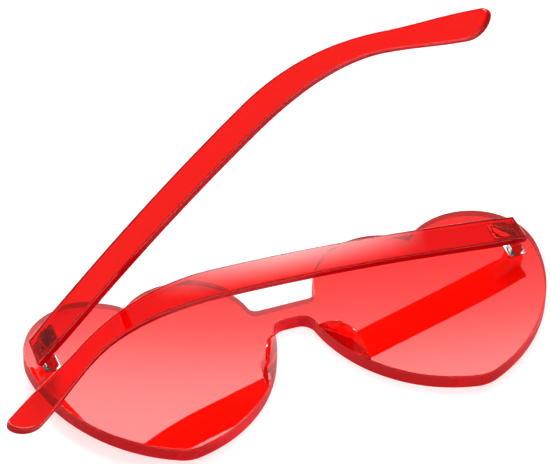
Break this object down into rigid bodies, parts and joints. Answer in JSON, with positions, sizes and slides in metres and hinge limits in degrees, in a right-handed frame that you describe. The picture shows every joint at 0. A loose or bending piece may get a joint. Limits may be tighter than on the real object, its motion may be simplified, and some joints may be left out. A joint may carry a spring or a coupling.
{
  "type": "sunglasses",
  "caption": "Heart shaped rimless sunglasses in clear red plastic: a bent plate with nose pads, and curved temples that fold on small metal hinges, lying on the outer face",
  "frame": {"origin": "on the outer face of the front, in its mirror plane, on the line through the centres of the hearts' lobes", "axes": "+X to the wearer's right, +Y to the tops of the hearts, +Z from the outer face to the wearer's side, up as the sunglasses lie"},
  "size_m": [0.1689, 0.0756, 0.145],
  "materials": {
    "clear_red": "see-through, polished",
    "bright_metal": "polished"
  },
  "bodies": {
    "front": {"front": "clear_red", "nose_pad_left": "clear_red", "nose_pad_right": "clear_red", "front_leaf_left": "bright_metal", "front_leaf_right": "bright_metal", "hinge_screw_left": "bright_metal", "hinge_screw_right": "bright_metal"},
    "temple_left": {"temple_left": "clear_red", "temple_leaf_left": "bright_metal"},
    "temple_right": {"temple_right": "clear_red", "temple_leaf_right": "bright_metal"}
  },
  "joints": [
    {"name": "temple_left_fold", "type": "hinge", "parent": "front", "child": "temple_left", "pos_m": [-0.0669, -0.0011, 0.00793], "axis": [0, -1, 0], "range_deg": [-3, 36.4]},
    {"name": "temple_right_fold", "type": "hinge", "parent": "front", "child": "temple_right", "pos_m": [0.0669, -0.0011, 0.00793], "axis": [0, 1, 0], "range_deg": [-10, 8]}
  ]
}
